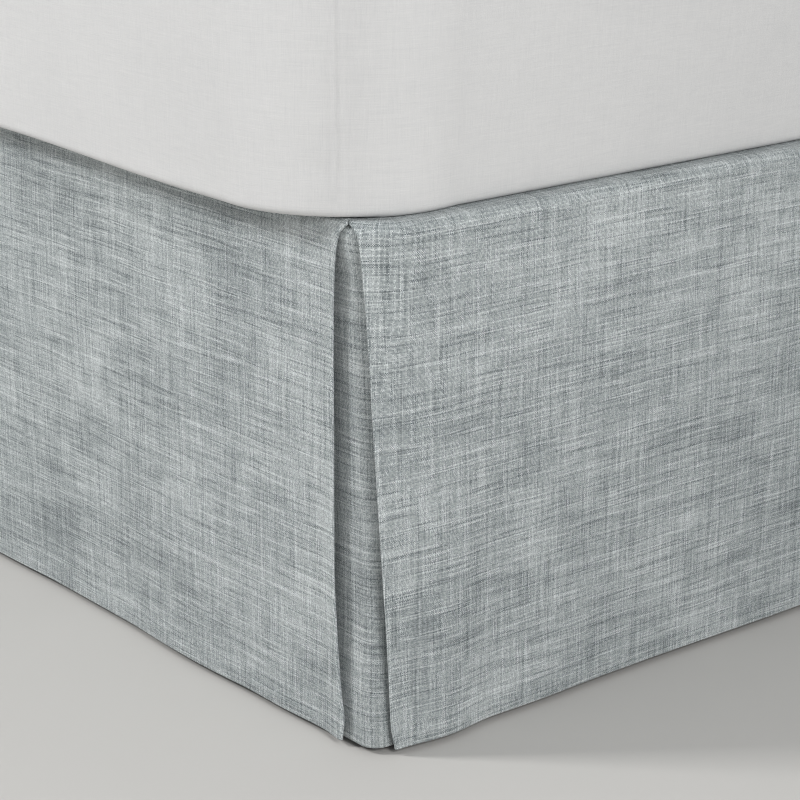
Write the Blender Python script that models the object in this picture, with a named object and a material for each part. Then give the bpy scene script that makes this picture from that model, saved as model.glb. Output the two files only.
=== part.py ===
"""A tailored bed skirt on a padded box base, with the mattress that holds it in place.

Three cloth panels hang from the edges of a platform sheet, which lies on the base under
the mattress. At each foot corner the panels end in pressed folds, and an underlay fills
the split between them: an inverted corner pleat that opens towards the floor.
Metres, +Z up. The foot of the bed faces -Y. The head end, at +Y, has no panel.
The origin is on the floor, under the middle of the mattress.
"""

import math

import bmesh
import bpy

# Mattress, queen size
MATTRESS_WIDTH = 1.524
MATTRESS_LENGTH = 2.032
MATTRESS_HEIGHT = 0.280
MATTRESS_CORNER = 0.130  # plan radius
MATTRESS_EDGE = 0.030  # rounding of the top and bottom edges

# How far the mattress passes the skirt's faces, and the base's head end
SIDE_OVERHANG = 0.006
FOOT_OVERHANG = 0.045
HEAD_OVERHANG = 0.006

# Skirt
CLOTH = 0.0010
DROP = 0.381
HEM_HEIGHT = 0.005
CORNER_RADIUS = 0.040  # plan radius in which the panels' tops turn the corner
ROLL_RADIUS = 0.009  # of the bend over the base's top edge
TURN_IN = 0.030  # from a panel's face to its seam with the platform
RETURN_TURN_IN = 0.013  # the same on the hidden layers of the pleat
FOLD_GAP = 0.0010  # inside a pressed fold
RETURN_END = 0.060  # where the cloth folded back ends, short of the corner's bend
SEAM_GAP = 0.0007
HEAD_HEM_SETBACK = 0.004
BEND_FADE = 2.0  # power with which a side panel's bend fades from its top to its hem

# Underlay: its outer face behind the panels' outer faces
UNDERLAY_INSET = 0.0040
UNDERLAY_RECESS = 0.0055  # how much deeper it hangs between its top and its hem
RECESS_FULL = (0.045, 0.270)  # below the top, where the recess is full
UNDERLAY_HEM_INSET = 0.0085  # at the hem, on the side panel's side only
UNDERLAY_HEM_RADIUS = 0.022
UNDERLAY_REACH = 0.118  # from the corner along each side

# Base and legs
BASE_HEIGHT = 0.230
BASE_SETBACK = 0.0132  # its faces behind the panels' outer faces
BASE_EDGE = 0.022
BASE_LOWER_EDGE = 0.004
BASE_DROP_BELOW_TOP = 0.0015
LEG_X = 0.600
LEG_Y = (-0.790, 0.020, 0.830)
LEG_TOP_RADIUS = 0.027
LEG_FOOT_RADIUS = 0.019
PLATE_SIDE = 0.090
PLATE_THICKNESS = 0.003
PLATE_CORNER = 0.012
GLIDE_RADIUS = 0.017
GLIDE_HEIGHT = 0.005
JOINT_GAP = 0.0003

# Levels and outlines worked out from the sizes above
SKIRT_TOP = HEM_HEIGHT + DROP
HALF_WIDTH = MATTRESS_WIDTH / 2 - SIDE_OVERHANG
FOOT_Y = -MATTRESS_LENGTH / 2 + FOOT_OVERHANG
HEAD_Y = MATTRESS_LENGTH / 2 - HEAD_OVERHANG
BASE_TOP = SKIRT_TOP - BASE_DROP_BELOW_TOP
BASE_BOTTOM = BASE_TOP - BASE_HEIGHT

# The pleat's two edges, at distances below the skirt's top: how far each panel's fold
# reaches past the start of the corner's bend. Negative stops short of it.
PLEAT_EDGES = (
    # below_top, side_reach, foot_reach
    (0.0000, 0.0590, 0.0038),
    (0.0012, 0.0562, 0.0066),
    (0.0026, 0.0516, 0.0054),
    (0.0059, 0.0475, 0.0034),
    (0.0090, 0.0458, 0.0014),
    (0.0200, 0.0440, -0.0026),
    (0.0350, 0.0424, -0.0048),
    (0.0700, 0.0399, -0.0062),
    (0.1500, 0.0366, -0.0064),
    (0.2500, 0.0316, -0.0068),
    (0.3000, 0.0284, -0.0032),
    (0.3450, 0.0262, 0.0022),
    (0.3640, 0.0250, 0.0054),
    (0.3810, 0.0216, 0.0033),
)

# Soft swells of the cloth, full at the hem and fading to nothing at the top
SIDE_SWELLS = (
    # from_corner, half_width, outward
    (0.064, 0.046, 0.0046),
    (0.160, 0.060, 0.0014),
    (0.400, 0.130, 0.0022),
    (0.690, 0.140, 0.0030),
    (1.010, 0.150, 0.0016),
    (1.330, 0.160, 0.0030),
    (1.680, 0.150, 0.0018),
    (1.930, 0.100, 0.0022),
)
FOOT_SWELLS = (
    # from_corner, half_width, outward
    (0.036, 0.026, 0.0026),
    (0.110, 0.050, 0.0016),
    (0.215, 0.110, 0.0036),
    (0.520, 0.120, 0.0026),
)

# Rows of the cloth meshes
ROLL_ANGLES = tuple(math.radians(a) for a in (90, 60, 45, 20, 0))
PANEL_ROWS = (0.020, 0.035, 0.070, 0.150, 0.250, 0.300, 0.345, 0.364, 0.381)
UNDERLAY_ARC_STEPS = 8
UNDERLAY_ROWS = (0.018, 0.030, 0.045, 0.080, 0.150, 0.225, 0.270, 0.305, 0.345, 0.381)
SIDE_PITCH = 0.105
FOOT_PITCH = 0.085
NEAR_CORNER = (-0.105, -0.080, -0.060, -0.042, -0.024, -0.010)
SIDE_BEND_STEPS = 7
FOOT_BEND_STEPS = 2
FOLD_STEPS = 4


def material(name, colour, roughness, metallic=0.0):
    """A plain Principled BSDF finish."""
    made = bpy.data.materials.new(name)
    made.use_nodes = True
    shader = made.node_tree.nodes["Principled BSDF"]
    shader.inputs["Base Color"].default_value = (*colour, 1.0)
    shader.inputs["Roughness"].default_value = roughness
    shader.inputs["Metallic"].default_value = metallic
    made.diffuse_color = (*colour, 1.0)
    return made


def add_object(name, mesh_data, finish, smooth_angle=40):
    """Puts a bmesh in the scene as a named, smooth-shaded object."""
    mesh = bpy.data.meshes.new(name)
    mesh_data.to_mesh(mesh)
    mesh_data.free()
    mesh.materials.append(finish)
    mesh.shade_smooth()
    mesh.set_sharp_from_angle(angle=math.radians(smooth_angle))
    made = bpy.data.objects.new(name, mesh)
    bpy.context.scene.collection.objects.link(made)
    return made


def interpolated(table, at, column):
    """The table's column at a value of its first column, on straight lines between rows."""
    for low, high in zip(table, table[1:]):
        if at <= high[0]:
            share = (at - low[0]) / (high[0] - low[0])
            return low[column] + share * (high[column] - low[column])
    return table[-1][column]


def eased(share):
    """A share held from 0 to 1, with a soft start and end."""
    share = min(max(share, 0.0), 1.0)
    return share * share * (3.0 - 2.0 * share)


def recess(below_top):
    """How much deeper than its top the underlay hangs."""
    full_from, full_to = RECESS_FULL
    inwards = eased((below_top - ROLL_RADIUS) / (full_from - ROLL_RADIUS))
    outwards = eased((below_top - full_to) / (DROP - full_to))
    return UNDERLAY_RECESS * (inwards - outwards)


def swell(table, from_corner, below_top):
    """How far the cloth stands outwards of its flat face."""
    total = 0.0
    for centre, half_width, outward in table:
        away = abs(from_corner - centre) / half_width
        if away < 1.0:
            total += outward * (1.0 + math.cos(math.pi * away)) / 2.0
    return total * eased(below_top / DROP)


def bend_of(below_top, fades):
    """The plan curvature of a panel past the start of the corner."""
    if not fades:
        return 1.0 / CORNER_RADIUS
    share = 1.0 - max(below_top, 0.0) / DROP
    return max(share, 0.02) ** BEND_FADE / CORNER_RADIUS


def plan_point(along, depth, bend):
    """(forward, inward) of a point past the start of the corner, at a depth behind the face."""
    if along <= 0.0:
        return along, depth
    angle = along * bend
    forward = math.sin(angle) / bend - depth * math.sin(angle)
    inward = (1.0 - math.cos(angle)) / bend + depth * math.cos(angle)
    return forward, inward


def profile_rows(inset, turn_in, drops):
    """Each row of a layer: its turned-in end, its roll and its drop.

    A row is (depth, below_top, face_below), where face_below is how far below the top
    the same row runs on the outer face.
    """
    reach = ROLL_RADIUS - inset
    rows = [(turn_in, inset, 0.0)]
    for angle in ROLL_ANGLES:
        depth = ROLL_RADIUS - reach * math.cos(angle)
        below = ROLL_RADIUS - reach * math.sin(angle)
        rows.append((depth, below, ROLL_RADIUS * (1.0 - math.sin(angle))))
    rows.extend((inset, below, below) for below in drops)
    return rows


def sheet(name, columns, finish):
    """A cloth solid on the given columns of middle-surface points."""
    made = bmesh.new()
    grid = [[made.verts.new(point) for point in column] for column in columns]
    for left, right in zip(grid, grid[1:]):
        for row in range(len(left) - 1):
            made.faces.new((left[row], right[row], right[row + 1], left[row + 1]))
    bmesh.ops.recalc_face_normals(made, faces=made.faces)
    cloth = add_object(name, made, finish, smooth_angle=60)
    solid = cloth.modifiers.new("Cloth thickness", "SOLIDIFY")
    solid.thickness = CLOTH
    solid.offset = 0.0
    solid.use_even_offset = True
    return cloth


def folded_end(place, edge_column, swells, fades, bend_steps):
    """Columns of a panel from the start of the corner's bend, round its fold, to its return.

    place(forward, inward, height) gives the point in the world.
    """
    fold_radius = (FOLD_GAP + CLOTH) / 2
    outer = CLOTH / 2
    inner = outer + 2 * fold_radius
    start = NEAR_CORNER[-1]

    def column(station, inset, turn_in):
        """station(centre, stretch) is how far past the bend's start the column runs."""
        points = []
        for depth, below, face_below in profile_rows(inset, turn_in, PANEL_ROWS):
            bend = bend_of(face_below, fades)
            tip = interpolated(PLEAT_EDGES, face_below, edge_column)
            stretch = 1.0 / (1.0 - bend * depth) if tip > 0.0 else 1.0
            centre = tip - (SEAM_GAP / 2 + CLOTH / 2 + fold_radius) * stretch
            along = station(centre, stretch)
            forward, inward = plan_point(along, depth, bend)
            lift = swell(swells, CORNER_RADIUS - along, face_below)
            points.append(place(forward, inward - lift, SKIRT_TOP - below))
        return points

    def share_station(share):
        return lambda centre, stretch: start + (centre - start) * share

    shares = [step / bend_steps for step in range(bend_steps + 1)]
    columns = [column(share_station(share), outer, TURN_IN) for share in shares]
    for step in range(1, FOLD_STEPS):
        angle = math.pi * step / FOLD_STEPS
        inset = outer + fold_radius * (1.0 - math.cos(angle))
        side = fold_radius * math.sin(angle)
        turn_in = TURN_IN + (RETURN_TURN_IN - TURN_IN) * step / FOLD_STEPS
        columns.append(column(lambda c, k, side=side: c + side * k, inset, turn_in))
    for share in shares[::-1]:
        columns.append(column(share_station(share), inner, RETURN_TURN_IN))
    columns.append(column(lambda c, k: -RETURN_END, inner, RETURN_TURN_IN))
    return columns


def flat_columns(place, stations, swells):
    """Columns along a panel's flat stretch, at stations short of the corner's bend."""
    columns = []
    for along in stations:
        points = []
        for depth, below, face_below in profile_rows(CLOTH / 2, TURN_IN, PANEL_ROWS):
            lift = swell(swells, CORNER_RADIUS - along, face_below)
            points.append(place(along, depth - lift, SKIRT_TOP - below))
        columns.append(points)
    return columns


def even_stations(start, end, pitch):
    """Stations from start up to but not at end, at most a pitch apart."""
    count = math.ceil((end - start) / pitch)
    return [start + (end - start) * step / count for step in range(count)]


def side_panel(name, mirror, finish):
    """A side panel: from the head end to the foot corner, where it folds back."""

    def place(forward, inward, height):
        x = HALF_WIDTH - inward
        return mirror * x, FOOT_Y + CORNER_RADIUS - forward, height

    head = FOOT_Y + CORNER_RADIUS - (HEAD_Y - HEAD_HEM_SETBACK)
    stations = even_stations(head, NEAR_CORNER[0], SIDE_PITCH) + list(NEAR_CORNER[:-1])
    columns = flat_columns(place, stations, SIDE_SWELLS)
    columns += folded_end(place, 1, SIDE_SWELLS, True, SIDE_BEND_STEPS)
    return sheet(name, columns, finish)


def foot_panel(name, finish):
    """The foot panel, folded back at both ends."""
    halves = []
    for mirror in (1, -1):

        def place(forward, inward, height, mirror=mirror):
            x = HALF_WIDTH - CORNER_RADIUS + forward
            return mirror * x, FOOT_Y + inward, height

        middle = -(HALF_WIDTH - CORNER_RADIUS)
        stations = even_stations(middle, NEAR_CORNER[0], FOOT_PITCH)
        stations += list(NEAR_CORNER[:-1])
        if mirror == -1:
            stations = stations[1:]
        columns = flat_columns(place, stations, FOOT_SWELLS)
        halves.append(columns + folded_end(place, 2, FOOT_SWELLS, False, FOOT_BEND_STEPS))
    return sheet(name, halves[1][::-1] + halves[0], finish)


def corner_underlay(name, mirror, finish):
    """The strip behind the split corner, a quarter column that tightens towards its hem."""
    stations = []
    straight = (0.0, 0.5, 0.85)
    stations += [("foot", share) for share in straight]
    stations += [("arc", step / UNDERLAY_ARC_STEPS) for step in range(UNDERLAY_ARC_STEPS + 1)]
    stations += [("side", share) for share in straight[::-1]]
    loosening_start = SKIRT_TOP - BASE_BOTTOM - 0.020

    columns = []
    for part, share in stations:
        points = []
        middle = UNDERLAY_INSET + CLOTH / 2
        for depth, below, face_below in profile_rows(middle, RETURN_TURN_IN, UNDERLAY_ROWS):
            depth += recess(face_below)
            slack = max(face_below - loosening_start, 0.0) / (DROP - loosening_start)
            side_extra = (UNDERLAY_HEM_INSET - UNDERLAY_INSET) * slack
            opened = max(face_below - ROLL_RADIUS, 0.0) / (DROP - ROLL_RADIUS)
            radius = CORNER_RADIUS + (UNDERLAY_HEM_RADIUS - CORNER_RADIUS) * opened
            if part == "foot":
                x = -UNDERLAY_REACH + (UNDERLAY_REACH - radius) * share
                y = depth
            elif part == "side":
                x = -depth - side_extra
                y = UNDERLAY_REACH - (UNDERLAY_REACH - radius) * share
            else:
                angle = share * math.pi / 2
                x = -radius + (radius - depth) * math.sin(angle) - side_extra * share
                y = radius - (radius - depth) * math.cos(angle)
            points.append((mirror * (HALF_WIDTH + x), FOOT_Y + y, SKIRT_TOP - below))
        columns.append(points)
    return sheet(name, columns, finish)


def rounded_outline(half_x, low_y, high_y, foot_radius, head_radius, steps, height):
    """A rectangle's outline with round corners, anticlockwise, as points at one height."""
    corners = (
        (half_x, low_y, foot_radius, -90),
        (half_x, high_y, head_radius, 0),
        (-half_x, high_y, head_radius, 90),
        (-half_x, low_y, foot_radius, 180),
    )
    points = []
    for x, y, radius, start in corners:
        centre_x = x - math.copysign(radius, x)
        centre_y = y + (radius if y == low_y else -radius)
        for step in range(steps + 1):
            angle = math.radians(start + 90 * step / steps)
            points.append(
                (centre_x + radius * math.cos(angle), centre_y + radius * math.sin(angle), height)
            )
    return points


def prism(outline, thickness):
    """A bmesh of the outline extruded upwards."""
    made = bmesh.new()
    bottom = made.faces.new([made.verts.new(point) for point in outline])
    raised = bmesh.ops.extrude_face_region(made, geom=[bottom])
    top = [item for item in raised["geom"] if isinstance(item, bmesh.types.BMVert)]
    bmesh.ops.translate(made, verts=top, vec=(0, 0, thickness))
    bmesh.ops.recalc_face_normals(made, faces=made.faces)
    return made


def round_level_edges(mesh_data, height, radius, segments):
    """Rounds the edges that lie at one height."""
    edges = [
        edge
        for edge in mesh_data.edges
        if all(abs(vert.co.z - height) < 1e-6 for vert in edge.verts)
    ]
    bmesh.ops.bevel(
        mesh_data,
        geom=edges,
        offset=radius,
        segments=segments,
        profile=0.5,
        affect="EDGES",
        offset_type="OFFSET",
    )


def platform(finish):
    """The sheet that the panels are sewn to, level with their turned-in tops."""
    inset = TURN_IN + SEAM_GAP
    outline = rounded_outline(
        HALF_WIDTH - inset,
        FOOT_Y + inset,
        HEAD_Y - HEAD_HEM_SETBACK,
        CORNER_RADIUS - inset,
        CORNER_RADIUS - inset,
        4,
        BASE_TOP + JOINT_GAP,
    )
    return add_object("platform", prism(outline, CLOTH), finish)


def box_base(finish):
    """The padded box, with soft top edges."""
    radius = CORNER_RADIUS - BASE_SETBACK
    outline = rounded_outline(
        HALF_WIDTH - BASE_SETBACK, FOOT_Y + BASE_SETBACK, HEAD_Y, radius, radius, 6, BASE_BOTTOM
    )
    made = prism(outline, BASE_HEIGHT)
    round_level_edges(made, BASE_TOP, BASE_EDGE, 5)
    round_level_edges(made, BASE_BOTTOM, BASE_LOWER_EDGE, 2)
    return add_object("box_base", made, finish)


def mattress(finish):
    """The mattress, round at its corners and edges."""
    bottom = SKIRT_TOP + JOINT_GAP
    half_length = MATTRESS_LENGTH / 2
    outline = rounded_outline(
        MATTRESS_WIDTH / 2, -half_length, half_length, MATTRESS_CORNER, MATTRESS_CORNER, 7, bottom
    )
    made = prism(outline, MATTRESS_HEIGHT)
    round_level_edges(made, bottom + MATTRESS_HEIGHT, MATTRESS_EDGE, 5)
    round_level_edges(made, bottom, MATTRESS_EDGE, 5)
    return add_object("mattress", made, finish)


def turned(low_radius, high_radius, height, chamfer, sides):
    """A bmesh of a turned post from z = 0 up, its two end edges chamfered."""
    made = bmesh.new()
    bmesh.ops.create_cone(
        made, cap_ends=True, segments=sides, radius1=low_radius, radius2=high_radius, depth=height
    )
    bmesh.ops.translate(made, verts=made.verts, vec=(0, 0, height / 2))
    for level in (0.0, height):
        round_level_edges(made, level, chamfer, 1)
    return made


def leg_set(number, x, y, finishes):
    """A tapered leg, the plate that fixes it to the base and the glide that it stands on."""
    plate_z = BASE_BOTTOM - JOINT_GAP - PLATE_THICKNESS
    half = PLATE_SIDE / 2
    plate = prism(
        rounded_outline(half, -half, half, PLATE_CORNER, PLATE_CORNER, 3, 0.0), PLATE_THICKNESS
    )
    plate_object = add_object(f"leg_plate_{number}", plate, finishes["steel"])
    plate_object.location = (x, y, plate_z)

    leg_z = GLIDE_HEIGHT + JOINT_GAP
    leg_height = plate_z - JOINT_GAP - leg_z
    post = turned(LEG_FOOT_RADIUS, LEG_TOP_RADIUS, leg_height, 0.0015, 20)
    leg = add_object(f"leg_{number}", post, finishes["wood"])
    leg.location = (x, y, leg_z)

    disc = turned(GLIDE_RADIUS, GLIDE_RADIUS, GLIDE_HEIGHT, 0.0010, 16)
    glide = add_object(f"glide_{number}", disc, finishes["plastic"])
    glide.location = (x, y, 0.0)


def build():
    """Clears the scene and models every piece."""
    for old in list(bpy.data.objects):
        bpy.data.objects.remove(old, do_unlink=True)

    slate = material("Slate linen weave", (0.36, 0.39, 0.39), 0.90)
    ticking = material("Plain platform cotton", (0.72, 0.72, 0.70), 0.92)
    cover = material("White fitted cover", (0.66, 0.66, 0.65), 0.85)
    padding = material("Base cover cloth", (0.55, 0.54, 0.51), 0.90)
    finishes = {
        "wood": material("Leg wood", (0.12, 0.07, 0.04), 0.50),
        "steel": material("Plate steel", (0.45, 0.45, 0.46), 0.38, 1.0),
        "plastic": material("Glide plastic", (0.03, 0.03, 0.03), 0.55),
    }

    for side, mirror in (("right", 1), ("left", -1)):
        side_panel(f"side_panel_{side}", mirror, slate)
        corner_underlay(f"corner_underlay_{side}", mirror, slate)
    foot_panel("foot_panel", slate)
    platform(ticking)
    box_base(padding)
    mattress(cover)
    number = 1
    for x in (-LEG_X, LEG_X):
        for y in LEG_Y:
            leg_set(number, x, y, finishes)
            number += 1


build()
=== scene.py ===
"""A tailored bed skirt in slubbed linen weave, on its box base and under its mattress.

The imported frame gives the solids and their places. This script replaces every soft solid
with finer cloth or padding on the same folds, dresses what stays, and sets the stage.
Metres, +Z up. The foot of the bed faces -Y and the open head end is at +Y.
"""

from __future__ import annotations

import logging
import math
from collections.abc import Callable, Sequence
from dataclasses import dataclass, replace
from enum import Enum
from functools import cache

import bmesh
import bpy
from bmesh.types import BMesh
from bpy.types import Material, Node, NodeSocket, NodeTree, Object
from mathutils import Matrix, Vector, noise


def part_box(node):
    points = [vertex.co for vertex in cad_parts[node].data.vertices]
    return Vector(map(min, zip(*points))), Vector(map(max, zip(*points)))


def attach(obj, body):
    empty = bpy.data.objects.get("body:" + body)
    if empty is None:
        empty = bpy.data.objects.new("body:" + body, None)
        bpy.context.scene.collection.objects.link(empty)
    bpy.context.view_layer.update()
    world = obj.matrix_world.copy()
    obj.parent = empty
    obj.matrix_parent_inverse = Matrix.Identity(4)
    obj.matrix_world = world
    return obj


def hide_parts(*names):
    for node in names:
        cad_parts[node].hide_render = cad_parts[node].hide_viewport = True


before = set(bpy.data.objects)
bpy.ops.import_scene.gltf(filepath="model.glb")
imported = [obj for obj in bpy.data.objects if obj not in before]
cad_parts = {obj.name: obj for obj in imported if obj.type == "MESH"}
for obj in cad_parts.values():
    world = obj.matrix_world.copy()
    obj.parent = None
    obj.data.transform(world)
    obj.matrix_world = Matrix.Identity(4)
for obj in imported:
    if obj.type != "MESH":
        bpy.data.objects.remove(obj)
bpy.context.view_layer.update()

LOG = logging.getLogger("bed_skirt")
BODY = "root"
CLOTH_MAP = "ClothMetres"
QUARTER_TURN = math.pi / 2
EIGHTH_TURN = math.pi / 4
ON_FACE = 1e-7
SAME_PLACE = 1e-6
LEAST_RADIUS = 1e-5

Colour = tuple[float, float, float]


class Side(Enum):
    """The two long sides of the bed, as seen by someone who stands at its foot."""

    RIGHT = 1
    LEFT = -1

    @property
    def suffix(self) -> str:
        """The end of the names of this side's pieces and nodes."""
        return f"_{self.name.lower()}"


class Layer(Enum):
    """The parts of a layer of hanging cloth, from its seam to its hem."""

    TURNED_IN = "turned in"
    ROLL = "roll"
    DROP = "drop"


class Stretch(Enum):
    """The parts of a corner underlay, as they follow each other round the corner."""

    FOOT = "along the foot"
    ARC = "round the corner"
    SIDE = "along the side"


# ---- measures


@dataclass(frozen=True)
class SkirtShape:
    """The sizes that the skirt's pieces share, with levels read from the frame."""

    half_width: float
    foot_y: float
    head_y: float
    top: float
    base_bottom: float
    cloth: float = 0.0010
    drop: float = 0.381
    corner_radius: float = 0.040
    roll_radius: float = 0.009
    turn_in: float = 0.030
    return_turn_in: float = 0.013
    fold_gap: float = 0.0010
    return_end: float = 0.060
    seam_gap: float = 0.0007
    head_hem_setback: float = 0.004
    bend_start: float = -0.010
    bend_fade: float = 2.0
    least_bend: float = 0.02

    @classmethod
    def from_frame(cls, setback: float = 0.0132, gap: float = 0.0003) -> SkirtShape:
        """Reads the levels from the base's and the mattress's boxes.

        Args:
            setback: How far the base's faces stand behind the panels' outer faces.
            gap: The gap between pieces that rest on each other.

        Returns:
            The shape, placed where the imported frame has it.
        """
        base_low, base_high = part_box("box_base")
        mattress_low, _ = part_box("mattress")
        return cls(
            half_width=base_high[0] + setback,
            foot_y=base_low[1] - setback,
            head_y=base_high[1],
            top=mattress_low[2] - gap,
            base_bottom=base_low[2],
        )

    @property
    def fold_radius(self) -> float:
        """The middle surface's radius in a pressed fold."""
        return (self.fold_gap + self.cloth) / 2

    def bend(self, below: float, fades: bool) -> float:
        """The plan curvature of a panel past the start of the corner.

        Args:
            below: Distance below the skirt's top.
            fades: True for a side panel, whose bend opens towards its hem.

        Returns:
            The curvature, in 1/m.
        """
        if not fades:
            return 1.0 / self.corner_radius
        share = 1.0 - max(below, 0.0) / self.drop
        return max(share, self.least_bend) ** self.bend_fade / self.corner_radius


class SmoothTable:
    """A monotone cubic curve through a short table of points."""

    def __init__(self, rows: Sequence[tuple[float, float]]) -> None:
        """Works out a slope at each point that never overshoots.

        Args:
            rows: Pairs of place and value, in order of place.
        """
        self.places = [row[0] for row in rows]
        self.values = [row[1] for row in rows]
        steps = [b - a for a, b in zip(self.places, self.places[1:])]
        rises = [
            (b - a) / step for a, b, step in zip(self.values, self.values[1:], steps)
        ]
        inner = [
            0.0 if low * high <= 0.0 else 2.0 * low * high / (low + high)
            for low, high in zip(rises, rises[1:])
        ]
        self.slopes = [rises[0], *inner, rises[-1]]

    def __call__(self, at: float) -> float:
        """The curve's value, held level past the table's ends.

        Args:
            at: The place.

        Returns:
            The value there.
        """
        if at <= self.places[0]:
            return self.values[0]
        for index, (low, high) in enumerate(zip(self.places, self.places[1:])):
            if at <= high:
                break
        else:
            return self.values[-1]
        step = high - low
        share = (at - low) / step
        rest = 1.0 - share
        start, end = self.values[index], self.values[index + 1]
        slope_in, slope_out = self.slopes[index], self.slopes[index + 1]
        return (
            start * (1 + 2 * share) * rest * rest
            + end * (3 - 2 * share) * share * share
            + step * share * rest * (slope_in * rest - slope_out * share)
        )


# How far each panel's fold reaches past the start of the corner's bend. Negative stops
# short of it.
PLEAT_EDGES = (
    # below_top, side_reach, foot_reach
    (0.0000, 0.0590, 0.0038),
    (0.0012, 0.0562, 0.0066),
    (0.0026, 0.0516, 0.0054),
    (0.0059, 0.0475, 0.0034),
    (0.0090, 0.0458, 0.0014),
    (0.0200, 0.0440, -0.0026),
    (0.0350, 0.0424, -0.0048),
    (0.0700, 0.0399, -0.0062),
    (0.1500, 0.0366, -0.0064),
    (0.2500, 0.0316, -0.0068),
    (0.3000, 0.0284, -0.0032),
    (0.3450, 0.0262, 0.0022),
    (0.3640, 0.0250, 0.0054),
    (0.3810, 0.0216, 0.0033),
)
SIDE_REACH = SmoothTable([(row[0], row[1]) for row in PLEAT_EDGES])
FOOT_REACH = SmoothTable([(row[0], row[2]) for row in PLEAT_EDGES])

Swells = Sequence[tuple[float, float, float]]
SIDE_SWELLS: Swells = (
    # from_corner, half_width, outward at the hem
    (0.064, 0.046, 0.0046),
    (0.160, 0.060, 0.0014),
    (0.400, 0.130, 0.0022),
    (0.690, 0.140, 0.0030),
    (1.010, 0.150, 0.0016),
    (1.330, 0.160, 0.0030),
    (1.680, 0.150, 0.0018),
    (1.930, 0.100, 0.0022),
)
FOOT_SWELLS: Swells = (
    # from_corner, half_width, outward at the hem
    (0.036, 0.026, 0.0026),
    (0.110, 0.050, 0.0016),
    (0.215, 0.110, 0.0036),
    (0.520, 0.120, 0.0026),
)


def smoothstep(share: float) -> float:
    """A share clamped to 0 to 1 and eased at both ends."""
    share = min(max(share, 0.0), 1.0)
    return share * share * (3.0 - 2.0 * share)


def hump(at: float, centre: float, half_width: float) -> float:
    """A raised cosine of height 1 on its centre, and 0 from a half width away."""
    away = abs(at - centre) / half_width
    return (1.0 + math.cos(math.pi * away)) / 2.0 if away < 1.0 else 0.0


def spaced(start: float, end: float, pitch: float) -> list[float]:
    """Evenly spaced values from start up to but not at end, at most a pitch apart."""
    count = max(1, math.ceil((end - start) / pitch))
    return [start + (end - start) * step / count for step in range(count)]


def waves(at: Sequence[float], per_metre: Sequence[float], shift: float = 0.0) -> float:
    """Smooth noise round 0 at a place.

    Args:
        at: The place, with three parts.
        per_metre: How quickly the noise changes along each part.
        shift: What is added to the last part, to tell one noise from another.

    Returns:
        The noise.
    """
    x, y, z = (part * rate for part, rate in zip(at, per_metre))
    return noise.noise(Vector((x, y, z + shift)))


# ---- node helpers


class NodeBench:
    """Adds and joins nodes in one tree."""

    def __init__(self, tree: NodeTree) -> None:
        """Keeps the tree that the other methods work on."""
        self.tree = tree

    def add(self, kind: str, **settings: object) -> Node:
        """Adds a node.

        Args:
            kind: The node's type name.
            settings: Its plain attributes, by name.

        Returns:
            The node.
        """
        made = self.tree.nodes.new(kind)
        for name, value in settings.items():
            setattr(made, name, value)
        return made

    def feed(self, socket: NodeSocket, value: object) -> None:
        """Links or sets an input.

        Args:
            socket: The input.
            value: The socket that feeds it, or its plain value.
        """
        if isinstance(value, NodeSocket):
            self.tree.links.new(value, socket)
        else:
            socket.default_value = value

    def fill(self, node: Node, values: dict[str, object]) -> None:
        """Feeds a node's inputs by their names."""
        for label, value in values.items():
            self.feed(node.inputs[label], value)

    def math(self, operation: str, *values: object) -> NodeSocket:
        """A Math node's result.

        Args:
            operation: Its operation.
            values: Sockets or numbers for its inputs, in order.

        Returns:
            The output.
        """
        made = self.add("ShaderNodeMath", operation=operation)
        for socket, value in zip(made.inputs, values):
            self.feed(socket, value)
        return made.outputs[0]

    def centred(self, value: NodeSocket) -> NodeSocket:
        """A value round 0.5 moved to stand round 0."""
        return self.math("SUBTRACT", value, 0.5)

    def ramp(self, value: object, low: float, high: float) -> NodeSocket:
        """An eased step from 0 at low to 1 at high."""
        made = self.add("ShaderNodeMapRange", interpolation_type="SMOOTHSTEP")
        self.fill(made, {"Value": value, "From Min": low, "From Max": high})
        return made.outputs["Result"]

    def vector(self, x: object, y: object, z: object = 0.0) -> NodeSocket:
        """Three numbers or sockets as one vector."""
        made = self.add("ShaderNodeCombineXYZ")
        self.fill(made, {"X": x, "Y": y, "Z": z})
        return made.outputs[0]

    def split(self, vector: NodeSocket) -> list[NodeSocket]:
        """A vector's three parts."""
        made = self.add("ShaderNodeSeparateXYZ")
        self.feed(made.inputs[0], vector)
        return list(made.outputs)

    def noise(
        self,
        vector: object,
        scale: float = 1.0,
        detail: float = 2.0,
        roughness: float = 0.5,
        flat: bool = True,
    ) -> NodeSocket:
        """A Noise texture's value.

        Args:
            vector: The coordinate.
            scale: Cells per unit of the coordinate.
            detail: Octaves.
            roughness: How strongly the finer octaves show.
            flat: Whether the noise is on two axes only.

        Returns:
            The output, near 0.5 on average.
        """
        made = self.add("ShaderNodeTexNoise", noise_dimensions="2D" if flat else "3D")
        self.fill(
            made, {"Vector": vector, "Scale": scale, "Detail": detail, "Roughness": roughness}
        )
        return made.outputs[0]

    def scatter(self, x: object, y: object) -> NodeSocket:
        """A random value for each pair of whole numbers."""
        made = self.add("ShaderNodeTexWhiteNoise", noise_dimensions="2D")
        self.feed(made.inputs["Vector"], self.vector(x, y))
        return made.outputs["Value"]


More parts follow.
